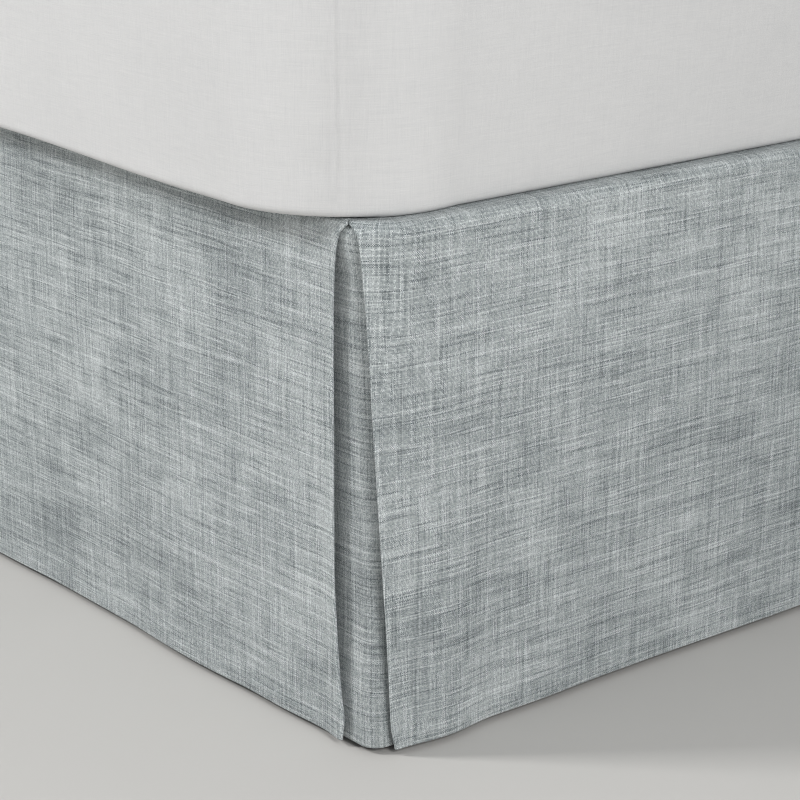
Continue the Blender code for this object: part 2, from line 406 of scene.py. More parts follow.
class MaterialBench(NodeBench):
    """The bench of a material with one shader."""

    def __init__(self, name: str, constants: dict[str, float]) -> None:
        """Starts the material.

        Args:
            name: Its name.
            constants: Values of the shader's own sockets, by name.
        """
        self.material = bpy.data.materials.new(name)
        self.material.use_nodes = True
        super().__init__(self.material.node_tree)
        self.shader = self.tree.nodes["Principled BSDF"]
        self.fill(self.shader, constants)

    def effect(
        self, group: NodeTree, vector: NodeSocket, values: dict[str, float]
    ) -> Node:
        """Places a shared node group.

        Args:
            group: The group.
            vector: What feeds its vector.
            values: Its other inputs, by name.

        Returns:
            The node.
        """
        made = self.add("ShaderNodeGroup", node_tree=group)
        self.fill(made, {"Vector": vector, **values})
        return made

    def object_place(self) -> NodeSocket:
        """The Object coordinates."""
        return self.add("ShaderNodeTexCoord").outputs["Object"]

    def colour(self, tone: NodeSocket, stops: Sequence[tuple[float, Colour]]) -> None:
        """Feeds the base colour.

        Args:
            tone: The value that picks it.
            stops: Places from 0 to 1 and their linear colours.
        """
        made = self.add("ShaderNodeValToRGB")
        elements = made.color_ramp.elements
        while len(elements) < len(stops):
            elements.new(0.5)
        for element, (place, colour) in zip(elements, stops):
            element.position = place
            element.color = (*colour, 1.0)
        self.feed(made.inputs[0], tone)
        self.feed(self.shader.inputs["Base Color"], made.outputs[0])

    def relief(self, height: NodeSocket, distance: float) -> None:
        """Feeds the normal from a height from 0 to 1, times a distance in metres."""
        bump = self.add("ShaderNodeBump")
        self.fill(bump, {"Strength": 1.0, "Distance": distance, "Height": height})
        self.feed(self.shader.inputs["Normal"], bump.outputs[0])


def new_group(
    name: str, inputs: dict[str, float], outputs: Sequence[str]
) -> tuple[NodeBench, Node, Node]:
    """Starts a node group whose first input is a vector.

    Args:
        name: Its name.
        inputs: Its other inputs' defaults, by name.
        outputs: Its outputs' names.

    Returns:
        Its bench, its input node and its output node.
    """
    tree = bpy.data.node_groups.new(name, "ShaderNodeTree")
    tree.interface.new_socket("Vector", in_out="INPUT", socket_type="NodeSocketVector")
    for label, default in inputs.items():
        socket = tree.interface.new_socket(label, in_out="INPUT", socket_type="NodeSocketFloat")
        socket.default_value = default
    for label in outputs:
        tree.interface.new_socket(label, in_out="OUTPUT", socket_type="NodeSocketFloat")
    bench = NodeBench(tree)
    return bench, bench.add("NodeGroupInput"), bench.add("NodeGroupOutput")


# The weave group's inputs beside its vector. A woven finish has a field for each.
WEAVE_INPUTS = {
    "Pitch": 0.0008,
    "Slub Length": 0.035,
    "Weft": 0.5,
    "Warp": 0.3,
    "Grain": 0.2,
    "Cloud": 0.2,
    # Gaps darkens the weave between yarns: partly its holes, partly painted shade.
    "Gaps": 0.2,
}


@dataclass(frozen=True)
class YarnVariety:
    """How yarns of one width differ from each other and along their length."""

    width: float
    stretch: float
    row_step: float
    row_seed: float
    shift: float
    shift_seed: float
    detail: float
    roughness: float


@dataclass(frozen=True)
class SlubWeave:
    """A plain weave of uneven yarns, as a node group.

    Its vector is the place on the cloth in metres: X along the weft, Y along the warp.
    Widths are in yarns, and stretches in slub lengths.
    """

    single: YarnVariety = YarnVariety(1.0, 1.0, 3.17, 0.0, 40.0, 0.0, 3.0, 0.62)
    slubs: YarnVariety = YarnVariety(1.25, 0.50, 5.71, 9.0, 60.0, 3.0, 1.0, 0.5)
    single_tone: float = 1.5
    slub_tone: float = 0.7
    light_slub: tuple[float, float] = (0.55, 0.74)
    dark_slub: tuple[float, float] = (0.45, 0.26)
    band_width: float = 8.0
    band_stretch: float = 0.45
    # cells per metre, octaves, reach in metres
    weft_wander: tuple[float, float, float] = (11.0, 2.0, 0.0030)
    warp_wander: tuple[float, float, float] = (23.0, 1.0, 0.0020)
    seeds: tuple[float, float] = (1.3, 7.9)
    # scale and least share of a yarn's tone where it lies on top
    on_top: tuple[float, float] = (1.8, 0.1)
    cloud_scale: float = 8.0
    knot_level: float = 0.4
    slub_heights: tuple[float, float] = (0.35, 0.25)
    height_range: tuple[float, float] = (0.5, 0.25)

    @cache
    def group(self) -> NodeTree:
        """Builds the node group, once.

        Returns:
            The group, with a tone round 0.5 and a height from 0 to 1.
        """
        bench, entry, result = new_group("Slub weave", WEAVE_INPUTS, ("Tone", "Height"))
        place, pitch = entry.outputs["Vector"], entry.outputs["Pitch"]
        math_of = bench.math

        def wandered(value: NodeSocket, wander: tuple[float, float, float]) -> NodeSocket:
            """A coordinate that wanders a little over the cloth."""
            scale, detail, reach = wander
            away = bench.centred(bench.noise(place, scale, detail))
            return math_of("MULTIPLY_ADD", away, reach, value)

        def whole(over: NodeSocket, width: NodeSocket) -> NodeSocket:
            """The number of the yarn at a place."""
            return math_of("FLOOR", math_of("DIVIDE", over, width))

        def varied(
            run: NodeSocket, over: NodeSocket, seed: float, variety: YarnVariety
        ) -> NodeSocket:
            """Noise along the yarns, of which each has its own.

            Args:
                run: The place along them, in slub lengths.
                over: The coordinate over them.
                seed: Tells weft and warp apart.
                variety: How they differ.

            Returns:
                The noise.
            """
            number = whole(over, math_of("MULTIPLY", pitch, variety.width))
            row = math_of("MULTIPLY_ADD", number, variety.row_step, seed + variety.row_seed)
            shift = bench.scatter(number, seed + variety.shift_seed)
            shift = math_of("MULTIPLY", shift, variety.shift)
            along = math_of("MULTIPLY_ADD", run, variety.stretch, shift)
            return bench.noise(bench.vector(along, row), 1.0, variety.detail, variety.roughness)

        def yarns(
            along: NodeSocket, over: NodeSocket, seed: float
        ) -> tuple[NodeSocket, NodeSocket, NodeSocket]:
            """One set of yarns.

            Args:
                along: The coordinate along them.
                over: The coordinate over them.
                seed: Tells weft and warp apart.

            Returns:
                Each yarn's signed tone, its slubs, and the tone that neighbours share.
            """
            run = math_of("DIVIDE", along, entry.outputs["Slub Length"])
            fine = varied(run, over, seed, self.single)
            slub = varied(run, over, seed, self.slubs)
            light, dark = (bench.ramp(slub, *step) for step in (self.light_slub, self.dark_slub))
            slub = math_of("SUBTRACT", light, dark)
            band_run = math_of("MULTIPLY", run, self.band_stretch)
            band_row = math_of("DIVIDE", over, math_of("MULTIPLY", pitch, self.band_width))
            band_place = bench.vector(band_run, math_of("ADD", band_row, seed))
            band = bench.centred(bench.noise(band_place, 1.0, 2.0, 0.6))
            tone = math_of("MULTIPLY", bench.centred(fine), self.single_tone)
            return math_of("MULTIPLY_ADD", slub, self.slub_tone, tone), slub, band

        def crown(over: NodeSocket) -> NodeSocket:
            """The round back of each yarn, from 0 between yarns to 1 on them."""
            turn = math_of("MULTIPLY", math_of("DIVIDE", over, pitch), math.pi)
            return math_of("ABSOLUTE", math_of("SINE", turn))

        across, down, _ = bench.split(place)
        down = wandered(down, self.weft_wander)
        across = wandered(across, self.warp_wander)
        weft, weft_slub, weft_band = yarns(across, down, self.seeds[0])
        warp, warp_slub, warp_band = yarns(down, across, self.seeds[1])

        column, row = whole(across, pitch), whole(down, pitch)
        weft_on_top = math_of("PINGPONG", math_of("ADD", column, row), 1.0)
        warp_on_top = math_of("SUBTRACT", 1.0, weft_on_top)
        weft_share = math_of("MULTIPLY_ADD", weft_on_top, *self.on_top)
        warp_share = math_of("MULTIPLY_ADD", warp_on_top, *self.on_top)
        weft_crown, warp_crown = crown(down), crown(across)
        # knot is 1 on the crowns of crossing yarns and 0 between them; its tone term darkens the
        # gaps and lightens the crowns: partly the open holes of the weave, partly painted shade in
        # the gaps and painted highlight on the crowns.
        knot = math_of("MULTIPLY", weft_crown, warp_crown)
        tone = 0.5
        for part, label in (
            (math_of("MULTIPLY_ADD", weft, weft_share, weft_band), "Weft"),
            (math_of("MULTIPLY_ADD", warp, warp_share, warp_band), "Warp"),
            (bench.centred(bench.scatter(column, row)), "Grain"),
            (bench.centred(bench.noise(place, self.cloud_scale, 3.0, 0.55)), "Cloud"),
            (math_of("SUBTRACT", knot, self.knot_level), "Gaps"),
        ):
            tone = math_of("MULTIPLY_ADD", part, entry.outputs[label], tone)

        height = math_of("MULTIPLY", weft_crown, weft_on_top)
        height = math_of("MULTIPLY_ADD", warp_crown, warp_on_top, height)
        for slub, rise in zip((weft_slub, warp_slub), self.slub_heights):
            height = math_of("MULTIPLY_ADD", slub, rise, height)
        height = math_of("MULTIPLY_ADD", height, *self.height_range)
        bench.fill(result, {"Tone": tone, "Height": height})
        return bench.tree


@cache
def mottle_group(broad_scale: float = 3.0, fine_scale: float = 420.0) -> NodeTree:
    """Soft unevenness of colour and surface.

    Args:
        broad_scale: Broad cells per metre.
        fine_scale: Fine cells per metre.

    Returns:
        The group, with a tone round 0.5 and a fine grain round 0.5.
    """
    bench, entry, result = new_group("Mottle", {"Broad": 0.5, "Fine": 0.5}, ("Tone", "Grain"))
    place = entry.outputs["Vector"]
    broad = bench.centred(bench.noise(place, broad_scale, 4.0, 0.5, flat=False))
    fine = bench.centred(bench.noise(place, fine_scale, 2.0, 0.6, flat=False))
    tone = bench.math("MULTIPLY_ADD", broad, entry.outputs["Broad"], 0.5)
    tone = bench.math("MULTIPLY_ADD", fine, entry.outputs["Fine"], tone)
    bench.fill(result, {"Tone": tone, "Grain": bench.math("ADD", fine, 0.5)})
    return bench.tree


@cache
def wood_grain_group(
    squeeze: float = 0.06,
    figure_scale: float = 90.0,
    pore_scale: float = 900.0,
    pores: tuple[float, float] = (0.56, 0.70),
) -> NodeTree:
    """Long straight grain with fine pores, along Z.

    Args:
        squeeze: How much slower the grain changes along Z than across it.
        figure_scale: Cells of the figure per metre.
        pore_scale: Cells of the pores per metre.
        pores: The noise at which a pore starts, and at which it is full.

    Returns:
        The group, with a tone round 0.5 and a pore mask.
    """
    bench, entry, result = new_group("Wood grain", {"Figure": 0.5}, ("Tone", "Pores"))
    x, y, z = bench.split(entry.outputs["Vector"])
    place = bench.vector(x, y, bench.math("MULTIPLY", z, squeeze))
    broad = bench.centred(bench.noise(place, figure_scale, 4.0, 0.6, flat=False))
    fine = bench.noise(place, pore_scale, 2.0, 0.6, flat=False)
    tone = bench.math("MULTIPLY_ADD", broad, entry.outputs["Figure"], 0.5)
    bench.fill(result, {"Tone": tone, "Pores": bench.ramp(fine, *pores)})
    return bench.tree


# ---- finishes


@dataclass(frozen=True)
class WovenFinish:
    """A woven cloth, patterned on the piece's own map in metres.

    Colours are linear, from the darkest yarn to the lightest.
    """

    name: str
    dark: Colour
    middle: Colour
    light: Colour
    pitch: float
    slub_length: float
    weft: float
    warp: float
    grain: float
    cloud: float
    thread_height: float
    gaps: float = 0.2
    roughness: float = 0.92
    specular: float = 0.25
    sheen: float = 0.10
    sheen_roughness: float = 0.5
    offset: tuple[float, float] = (0.0, 0.0)

    def material(self) -> Material:
        """Makes the material.

        Returns:
            The cloth's material.
        """
        gloss = {
            "Roughness": self.roughness,
            "Specular IOR Level": self.specular,
            "Sheen Weight": self.sheen,
            "Sheen Roughness": self.sheen_roughness,
        }
        bench = MaterialBench(self.name, gloss)
        cloth = bench.add("ShaderNodeUVMap", uv_map=CLOTH_MAP)
        placed = bench.add("ShaderNodeMapping")
        bench.fill(placed, {"Location": (*self.offset, 0.0), "Vector": cloth.outputs[0]})
        values = {
            label: getattr(self, label.lower().replace(" ", "_")) for label in WEAVE_INPUTS
        }
        weave = bench.effect(SlubWeave().group(), placed.outputs[0], values)
        stops = ((0.0, self.dark), (0.5, self.middle), (1.0, self.light))
        bench.colour(weave.outputs["Tone"], stops)
        bench.relief(weave.outputs["Height"], self.thread_height)
        return bench.material


@dataclass(frozen=True)
class MottledFinish:
    """A plain surface with soft unevenness, on Object coordinates."""

    name: str
    dark: Colour
    light: Colour
    broad: float
    fine: float
    roughness: float
    grain_height: float
    metallic: float = 0.0
    sheen: float = 0.0
    roughness_range: float = 0.12

    def material(self) -> Material:
        """Makes the material.

        Returns:
            The surface's material.
        """
        bench = MaterialBench(self.name, {"Metallic": self.metallic, "Sheen Weight": self.sheen})
        values = {"Broad": self.broad, "Fine": self.fine}
        mottle = bench.effect(mottle_group(), bench.object_place(), values)
        tone = mottle.outputs["Tone"]
        least = self.roughness - self.roughness_range / 2
        roughness = bench.math("MULTIPLY_ADD", tone, self.roughness_range, least)
        bench.feed(bench.shader.inputs["Roughness"], roughness)
        bench.colour(tone, ((0.0, self.dark), (1.0, self.light)))
        bench.relief(mottle.outputs["Grain"], self.grain_height)
        return bench.material


@dataclass(frozen=True)
class WoodFinish:
    """Stained wood under a satin lacquer, on Object coordinates."""

    name: str = "Stained wood"
    dark: Colour = (0.040, 0.020, 0.011)
    light: Colour = (0.150, 0.080, 0.042)
    figure: float = 1.4
    lacquer: float = 0.25
    lacquer_roughness: float = 0.25
    roughness: float = 0.42
    pore_roughness: float = 0.25
    pore_depth: float = 0.00012

    def material(self) -> Material:
        """Makes the material.

        Returns:
            The wood's material.
        """
        coat = {"Coat Weight": self.lacquer, "Coat Roughness": self.lacquer_roughness}
        bench = MaterialBench(self.name, coat)
        grain = bench.effect(wood_grain_group(), bench.object_place(), {"Figure": self.figure})
        pores = grain.outputs["Pores"]
        roughness = bench.math("MULTIPLY_ADD", pores, self.pore_roughness, self.roughness)
        bench.feed(bench.shader.inputs["Roughness"], roughness)
        bench.colour(grain.outputs["Tone"], ((0.15, self.dark), (0.85, self.light)))
        bench.relief(bench.math("SUBTRACT", 1.0, pores), self.pore_depth)
        return bench.material


SLATE = WovenFinish(
    name="Slate linen weave",
    dark=(0.094, 0.113, 0.120),
    middle=(0.368, 0.404, 0.409),
    light=(0.750, 0.785, 0.785),
    pitch=0.00082,
    slub_length=0.034,
    weft=0.27,
    warp=0.20,
    grain=0.34,
    cloud=0.46,
    thread_height=0.00030,
    gaps=0.50,
)
# The underlays' copy of the slate weave with every colour about a tenth darker: painted shade of
# the pleat's recess, on the same cloth as the panels.
SLATE_PAINTED_PLEAT_SHADE = replace(
    SLATE,
    name="Slate linen weave, painted pleat shade",
    dark=(0.080, 0.096, 0.102),
    middle=(0.331, 0.364, 0.368),
    light=(0.690, 0.722, 0.722),
    offset=(0.37, 0.21),
)
PLATFORM_COTTON = WovenFinish(
    name="Plain platform cotton",
    dark=(0.56, 0.55, 0.52),
    middle=(0.70, 0.69, 0.66),
    light=(0.80, 0.79, 0.76),
    pitch=0.0006,
    slub_length=0.020,
    weft=0.25,
    warp=0.20,
    grain=0.20,
    cloud=0.15,
    thread_height=0.00012,
)
SHEET_COTTON = WovenFinish(
    name="White sheet cotton",
    dark=(0.560, 0.563, 0.566),
    middle=(0.640, 0.638, 0.634),
    light=(0.720, 0.717, 0.710),
    pitch=0.00034,
    slub_length=0.012,
    weft=0.16,
    warp=0.14,
    grain=0.14,
    cloud=0.22,
    thread_height=0.00005,
    roughness=0.85,
    sheen=0.12,
)
BASE_COVER = WovenFinish(
    name="Base cover twill",
    dark=(0.34, 0.33, 0.30),
    middle=(0.50, 0.49, 0.455),
    light=(0.64, 0.625, 0.585),
    pitch=0.0009,
    slub_length=0.018,
    weft=0.30,
    warp=0.30,
    grain=0.30,
    cloud=0.15,
    thread_height=0.00020,
)
DUST_CLOTH = MottledFinish(
    "Dust cloth", (0.030, 0.030, 0.031), (0.060, 0.060, 0.062), 0.3, 1.2, 0.88, 0.00020
)
PLATE_STEEL = MottledFinish(
    "Plate steel", (0.36, 0.36, 0.37), (0.52, 0.52, 0.53), 0.5, 0.5, 0.36, 0.00002, metallic=1.0
)
GLIDE_PLASTIC = MottledFinish(
    "Glide plastic", (0.018, 0.018, 0.019), (0.034, 0.034, 0.035), 0.3, 0.6, 0.52, 0.00004
)
FLOOR = MottledFinish(
    "Pale floor", (0.525, 0.513, 0.492), (0.615, 0.601, 0.578), 0.45, 0.10, 0.80, 0.00004
)


# ---- mesh helpers


def place_object(name: str, made: BMesh, materials: Sequence[Material]) -> Object:
    """Puts a mesh in the scene, smooth-shaded.

    Args:
        name: The object's name.
        made: The mesh, which is freed.
        materials: Its materials, in slot order.

    Returns:
        The object.
    """
    mesh = bpy.data.meshes.new(name)
    made.to_mesh(mesh)
    made.free()
    for material in materials:
        mesh.materials.append(material)
    mesh.shade_smooth()
    placed = bpy.data.objects.new(name, mesh)
    bpy.context.scene.collection.objects.link(placed)
    return placed


def dress(piece: Object, node: str) -> None:
    """Makes a piece ride on the bed in a node's stead.

    Args:
        piece: The piece.
        node: The node.
    """
    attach(piece, BODY)
    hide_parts(node)
    LOG.info("%s: %d faces", piece.name, len(piece.data.polygons))


ClothPoint = tuple[Vector, tuple[float, float]]
Surface = Callable[[int, int], ClothPoint]


def cloth_grid(
    name: str,
    size: tuple[int, int],
    surface: Surface,
    material: Material,
    thickness: float,
) -> Object:
    """A sheet of cloth on a grid, with its map in metres.

    Args:
        name: The piece's name.
        size: Points across and down.
        surface: A point's place and flat place, by its column and row.
        material: Its material.
        thickness: Its thickness.

    Returns:
        The piece.
    """
    made = bmesh.new()
    across, down = size[0] - 1, size[1] - 1
    bmesh.ops.create_grid(made, x_segments=across, y_segments=down, size=0.5)
    flat: dict[int, tuple[float, float]] = {}
    for vert in made.verts:
        column = round((vert.co.x + 0.5) * across)
        row = round((0.5 - vert.co.y) * down)
        vert.co, flat[vert.index] = surface(column, row)
    cloth_map = made.loops.layers.uv.new(CLOTH_MAP)
    for face in made.faces:
        for loop in face.loops:
            loop[cloth_map].uv = flat[loop.vert.index]
    bmesh.ops.recalc_face_normals(made, faces=made.faces)
    sheet = place_object(name, made, [material])
    solid = sheet.modifiers.new("Cloth thickness", "SOLIDIFY")
    solid.thickness = thickness
    solid.offset = 0.0
    solid.use_even_offset = True
    return sheet


# ---- the skirt

TURN_IN_ROWS = (0.0, 0.35, 0.7)
HEM_ROWS = (0.0050, 0.0025, 0.0010, 0.0)


@dataclass(frozen=True)
class Row:
    """One row of points of a layer, by its part of the layer and a place in it."""

    part: Layer
    at: float


def layer_rows(
    shape: SkirtShape, stretches: Sequence[tuple[float, float]], roll_steps: int
) -> list[Row]:
    """Rows from a layer's seam to its hem, closest together at the hem.

    Args:
        shape: The skirt's sizes.
        stretches: Where each stretch of the drop starts, below the top, and its pitch.
        roll_steps: Steps round the roll.

    Returns:
        The rows, in order.
    """
    hem = [shape.drop - back for back in HEM_ROWS]
    starts = [start for start, _ in stretches] + [hem[0]]
    drops = [
        below
        for (start, pitch), end in zip(stretches, starts[1:])
        for below in spaced(start, end, pitch)
    ]
    turns = [QUARTER_TURN * (1 - step / roll_steps) for step in range(roll_steps + 1)]
    parts = ((Layer.TURNED_IN, TURN_IN_ROWS), (Layer.ROLL, turns), (Layer.DROP, drops + hem))
    return [Row(part, at) for part, places in parts for at in places]


@dataclass(frozen=True)
class RowPlace:
    """Where a row runs: behind the face, below the top, and down the cloth."""

    depth: float
    below: float
    face_below: float
    run: float


def row_place(shape: SkirtShape, row: Row, inset: float, turn_in: float) -> RowPlace:
    """Places a row of a layer.

    Args:
        shape: The skirt's sizes.
        row: The row.
        inset: The layer's depth behind the face on its drop.
        turn_in: How far behind the face the layer's seam lies.

    Returns:
        The row's place.
    """
    roll = shape.roll_radius
    reach = roll - inset
    if row.part is Layer.TURNED_IN:
        depth = turn_in + (roll - turn_in) * row.at
        return RowPlace(depth, inset, 0.0, depth - roll)
    if row.part is Layer.ROLL:
        depth = roll - reach * math.cos(row.at)
        below, face_below = roll - reach * math.sin(row.at), roll * (1 - math.sin(row.at))
        return RowPlace(depth, below, face_below, -reach * (QUARTER_TURN - row.at))
    return RowPlace(inset, row.at, row.at, -reach * QUARTER_TURN - (row.at - roll))


@dataclass(frozen=True)
class Station:
    """One column of a panel: a share of the way to its fold, an angle round the fold.

    A fixed place past the start of the corner's bend overrides the share.
    """

    share: float
    turn: float = 0.0
    fixed: float | None = None


@dataclass
class Panel:
    """A hanging panel that turns the corner, folds back and ends behind itself.

    Its waves are per metre, along the wall and down it.
    """

    shape: SkirtShape
    reach: SmoothTable
    swells: Swells
    fades: bool
    seed: float
    tail_steps: int = 5
    ripple: float = 0.0011
    ripple_out: float = 0.75
    slow_waves: tuple[float, float, float] = (5.0, 4.0, 1.0)
    quick_waves: tuple[float, float, float] = (13.0, 7.0, 1.0)
    quick_seed: float = 5.0
    quick_share: float = 0.45
    calm_top: float = 0.12
    calm_corner: float = 0.03
    calm_fade: float = 0.10

    def bend_stations(self, steps: int, fold_steps: int) -> list[Station]:
        """Columns from the start of the bend, round the fold and back behind.

        Args:
            steps: Columns along the bend.
            fold_steps: Steps round the fold.

        Returns:
            The stations, in order.
        """
        shares = [step / steps for step in range(steps + 1)]
        made = [Station(share) for share in shares]
        made += [Station(1.0, math.pi * step / fold_steps) for step in range(1, fold_steps)]
        made += [Station(share, math.pi) for share in shares[::-1]]
        start, end = self.shape.bend_start, -self.shape.return_end
        for step in range(1, self.tail_steps + 1):
            place = start + (end - start) * step / self.tail_steps
            made.append(Station(0.0, math.pi, place))
        return made

    def lift(self, from_corner: float, below: float) -> float:
        """How far the cloth stands outwards of its flat face.

        Args:
            from_corner: Distance along the wall from the corner.
            below: Distance below the skirt's top.

        Returns:
            The distance outwards, never far below 0.
        """
        growth = smoothstep(below / self.shape.drop)
        total = sum(
            outward * hump(from_corner, centre, half_width)
            for centre, half_width, outward in self.swells
        )
        at = (from_corner, below, 0.0)
        slow = waves(at, self.slow_waves, self.seed)
        quick = waves(at, self.quick_waves, self.seed + self.quick_seed)
        hang = smoothstep(below / self.calm_top)
        hang *= smoothstep((from_corner - self.calm_corner) / self.calm_fade)
        out = self.ripple_out + slow + self.quick_share * quick
        return total * growth + self.ripple * out * hang

    def point(self, station: Station, row: Row) -> tuple[float, float, float, tuple[float, float]]:
        """A point of the panel's middle surface.

        Args:
            station: Its column.
            row: Its row.

        Returns:
            How far forward of the bend's start it is, how far inward of the face, how far
            below the top, and its place on the flat cloth.
        """
        shape = self.shape
        radius = shape.fold_radius
        turned = station.turn / math.pi
        inset = shape.cloth / 2 + radius * (1.0 - math.cos(station.turn))
        turn_in = shape.turn_in + (shape.return_turn_in - shape.turn_in) * turned
        place = row_place(shape, row, inset, turn_in)

        bend = shape.bend(place.face_below, self.fades)
        tip = self.reach(place.face_below)
        stretch = 1.0 / (1.0 - bend * place.depth) if tip > 0.0 else 1.0
        centre = tip - (shape.seam_gap / 2 + shape.cloth / 2 + radius) * stretch
        if station.fixed is None:
            along = shape.bend_start + (centre - shape.bend_start) * station.share
        else:
            along = station.fixed
        run = along if turned == 0.0 else centre + radius * station.turn
        if turned == 1.0:
            run += centre - along
        along += radius * math.sin(station.turn) * stretch

        outward = self.lift(shape.corner_radius - along, place.face_below)
        if along <= 0.0:
            return along, place.depth - outward, place.below, (run, place.run)
        angle = along * bend
        forward = math.sin(angle) / bend - place.depth * math.sin(angle)
        inward = (1.0 - math.cos(angle)) / bend + place.depth * math.cos(angle)
        return forward, inward - outward, place.below, (run, place.run)


@dataclass
class BedSkirt:
    """The three panels, the two corner underlays and the platform that holds them."""

    shape: SkirtShape
    near_pitch: float = 0.0050
    far_pitch: float = 0.0110
    near_length: float = 0.62
    roll_pitch: float = 0.003
    fine_drop: float = 0.030
    drop_pitch: float = 0.0058
    roll_steps: int = 9
    bend_steps: int = 16
    fold_steps: int = 8
    foot_middle: float = 0.75
    underlay_inset: float = 0.0040
    underlay_recess: float = 0.0055
    recess_full: tuple[float, float] = (0.045, 0.270)
    underlay_hem_inset: float = 0.0085
    underlay_hem_radius: float = 0.022
    underlay_reach: float = 0.118
    underlay_rows: tuple[float, float] = (0.012, 0.0060)
    underlay_steps: tuple[int, int, int] = (14, 24, 8)
    underlay_hold: float = 0.020
    platform_points: tuple[int, int] = (97, 129)
    platform_waves: tuple[float, float, float] = (6.0, 6.0, 1.0)
    platform_seed: float = 3.0
    platform_ripple: float = 0.00015

    def build(self) -> None:
        """Makes and dresses every cloth piece."""
        slate = SLATE.material()
        # The underlays wear the slate weave darkened with painted pleat shade.
        shaded = SLATE_PAINTED_PLEAT_SHADE.material()
        for side in Side:
            self.side_panel(side, slate)
            self.underlay(side, shaded)
        self.foot_panel(slate)
        self.platform(PLATFORM_COTTON.material())

    def hang(
        self,
        names: tuple[str, str],
        cut: tuple[float, float],
        size: tuple[int, int],
        surface: Surface,
        material: Material,
    ) -> None:
        """Makes and dresses a sheet that hangs from the base.

        Args:
            names: The piece's name and its node's.
            cut: Its flat size; not used.
            size: Points across and down.
            surface: Its surface, by column and row.
            material: Its cloth.
        """
        piece = cloth_grid(names[0], size, surface, material, self.shape.cloth)
        dress(piece, names[1])

    def panel_rows(self) -> list[Row]:
        """The rows of the side panels and the foot panel."""
        start = self.shape.roll_radius + self.roll_pitch
        stretches = ((start, self.roll_pitch), (self.fine_drop, self.drop_pitch))
        return layer_rows(self.shape, stretches, self.roll_steps)

    def stations_to_corner(self, start: float) -> list[Station]:
        """Flat columns up to the bend, closer together near the corner.

        Args:
            start: Where the columns start, past the start of the corner's bend.

        Returns:
            The stations, in order.
        """
        bend = self.shape.bend_start
        near = max(start, bend - self.near_length)
        places = spaced(start, near, self.far_pitch) if near > start else []
        places += spaced(near, bend, self.near_pitch)
        return [Station(0.0, 0.0, place) for place in places]

    def side_panel(self, side: Side, material: Material) -> None:
        """Makes a side panel, from its hem at the head to the fold at the foot corner.

        Args:
            side: The side of the bed.
            material: Its cloth.
        """
        shape = self.shape
        panel = Panel(shape, SIDE_REACH, SIDE_SWELLS, True, 2.0 if side is Side.RIGHT else 31.0)
        corner_y = shape.foot_y + shape.corner_radius
        stations = self.stations_to_corner(corner_y - (shape.head_y - shape.head_hem_setback))
        stations += panel.bend_stations(self.bend_steps, self.fold_steps)
        rows = self.panel_rows()

        def surface(column: int, row: int) -> ClothPoint:
            """A point of the sheet.

            Args:
                column: Its column.
                row: Its row.

            Returns:
                Its place in the world and on the flat cloth.
            """
            forward, inward, below, cut = panel.point(stations[column], rows[row])
            x = side.value * (shape.half_width - inward)
            return Vector((x, corner_y - forward, shape.top - below)), cut

        names = ("side_panel_cloth" + side.suffix, "side_panel" + side.suffix)
        self.hang(names, (0.406, 2.07), (len(stations), len(rows)), surface, material)

    def foot_panel(self, material: Material) -> None:
        """Makes the foot panel, folded back at both ends.

        Args:
            material: Its cloth.
        """
        shape = self.shape
        corner_x = shape.half_width - shape.corner_radius
        panels = {
            side: Panel(shape, FOOT_REACH, FOOT_SWELLS, False, seed)
            for side, seed in ((Side.RIGHT, 11.0), (Side.LEFT, 47.0))
        }
        half = self.stations_to_corner(-corner_x)
        half += panels[Side.RIGHT].bend_stations(self.bend_steps // 2, self.fold_steps)
        columns = [(Side.LEFT, station) for station in half[:0:-1]]
        columns += [(Side.RIGHT, station) for station in half]
        rows = self.panel_rows()
        blend_from = -corner_x * self.foot_middle
        blend_over = corner_x * (1.0 - self.foot_middle)

        def surface(column: int, row: int) -> ClothPoint:
            """A point of the sheet.

            Args:
                column: Its column.
                row: Its row.

            Returns:
                Its place in the world and on the flat cloth.
            """
            side, station = columns[column]
            forward, inward, below, cut = panels[side].point(station, rows[row])
            middle = smoothstep((blend_from - forward) / blend_over)
            other = panels[Side.RIGHT].point(station, rows[row])
            inward += (other[1] - inward) * middle
            x = side.value * (corner_x + forward)
            flat = (side.value * (corner_x + cut[0]), cut[1])
            return Vector((x, shape.foot_y + inward, shape.top - below)), flat

        names = ("foot_panel_cloth", "foot_panel")
        self.hang(names, (0.406, 1.57), (len(columns), len(rows)), surface, material)

    def recess(self, below: float) -> float:
        """How much deeper than at its top the underlay hangs.

        Args:
            below: Distance below the skirt's top.

        Returns:
            The extra depth.
        """
        full_from, full_to = self.recess_full
        roll = self.shape.roll_radius
        inwards = smoothstep((below - roll) / (full_from - roll))
        outwards = smoothstep((below - full_to) / (self.shape.drop - full_to))
        return self.underlay_recess * (inwards - outwards)

    def underlay_point(
        self, stretch: Stretch, share: float, place: RowPlace
    ) -> tuple[float, float, float]:
        """A point of an underlay in plan.

        Args:
            stretch: The part of the strip that it is on.
            share: How far along that part it is.
            place: Its row's place.

        Returns:
            How far outwards of the bed's side, inwards of its foot, and along the flat
            cloth it is.
        """
        shape = self.shape
        hold = shape.top - shape.base_bottom - self.underlay_hold
        depth = place.depth + self.recess(place.face_below)
        slack = max(place.face_below - hold, 0.0) / (shape.drop - hold)
        side_extra = (self.underlay_hem_inset - self.underlay_inset) * slack
        roll = shape.roll_radius
        opened = max(place.face_below - roll, 0.0) / (shape.drop - roll)
        radius = shape.corner_radius + (self.underlay_hem_radius - shape.corner_radius) * opened
        flat = self.underlay_reach - radius
        if stretch is Stretch.FOOT:
            return -self.underlay_reach + flat * share, depth, flat * (share - 1.0)
        if stretch is Stretch.SIDE:
            y = self.underlay_reach - flat * (1.0 - share)
            return -depth - side_extra, y, radius * math.pi / 2 + flat * share
        angle = share * math.pi / 2
        x = -radius + (radius - depth) * math.sin(angle) - side_extra * share
        return x, radius - (radius - depth) * math.cos(angle), radius * angle

